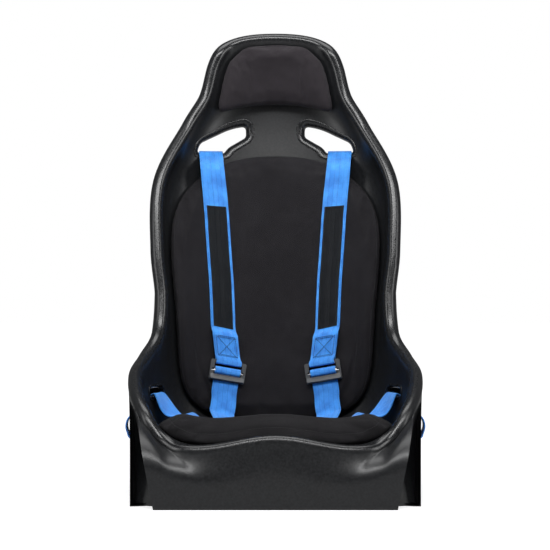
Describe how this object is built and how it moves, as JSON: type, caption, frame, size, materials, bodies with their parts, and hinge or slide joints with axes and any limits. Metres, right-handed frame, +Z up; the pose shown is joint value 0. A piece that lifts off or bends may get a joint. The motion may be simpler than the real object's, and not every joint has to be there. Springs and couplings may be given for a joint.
{
  "type": "racing seat",
  "caption": "Bucket racing seat: rolled-rim moulded shell with shoulder and hip slots, fabric back, head and seat pads, and a webbing harness with slide adjusters.",
  "frame": {"origin": "on the floor under the seat, at the centre of the four base bolt holes", "axes": "+Z up, the occupant faces -Y, +X to the side"},
  "size_m": [0.5614, 0.5935, 0.8895],
  "materials": {
    "shell": "moulded black plastic with a fine grain",
    "headrest_fabric": "smooth black stretch fabric over foam",
    "pad_fabric": "black stretch fabric over foam",
    "hook_tape": "hook-and-loop tape",
    "slot_trim": "smooth black plastic edging",
    "webbing": "ribbed blue polyester webbing",
    "strap_patch": "black woven patch with a stitched edge",
    "adjuster_frame": "dark coated steel",
    "lock_bar": "zinc-plated steel, ribbed",
    "zinc_steel": "zinc-plated steel",
    "rail_steel": "black powder-coated steel"
  },
  "bodies": {
    "seat": {"seat_shell": "shell", "headrest_pad": "headrest_fabric", "headrest_tape": "hook_tape", "back_pad": "pad_fabric", "back_tape_upper": "hook_tape", "back_tape_lower": "hook_tape", "seat_cushion": "pad_fabric", "cushion_tape": "hook_tape", "shoulder_trim_left": "slot_trim", "shoulder_trim_right": "slot_trim", "hip_trim_left": "slot_trim", "hip_trim_right": "slot_trim", "shoulder_strap_left": "webbing", "shoulder_strap_right": "webbing", "strap_patch_left": "strap_patch", "strap_patch_right": "strap_patch", "adjuster_left": "adjuster_frame", "adjuster_right": "adjuster_frame", "lower_strap_left": "webbing", "lower_strap_right": "webbing", "lap_strap_left": "webbing", "lap_strap_right": "webbing", "shoulder_anchor_left": "zinc_steel", "shoulder_anchor_right": "zinc_steel", "lap_anchor_left": "zinc_steel", "lap_anchor_right": "zinc_steel", "base_rail_left": "rail_steel", "base_rail_right": "rail_steel", "side_bush_left": "zinc_steel", "side_bush_right": "zinc_steel"},
    "lock_left": {"lock_bar_left": "lock_bar"},
    "lock_right": {"lock_bar_right": "lock_bar"}
  },
  "joints": [
    {"name": "lock_bar_left_slide", "type": "slide", "parent": "seat", "child": "lock_left", "axis": [0.1417, 0.1874, 0.972], "range_m": [0, 0.0025]},
    {"name": "lock_bar_right_slide", "type": "slide", "parent": "seat", "child": "lock_right", "axis": [-0.1417, 0.1874, 0.972], "range_m": [0, 0.0025]}
  ]
}
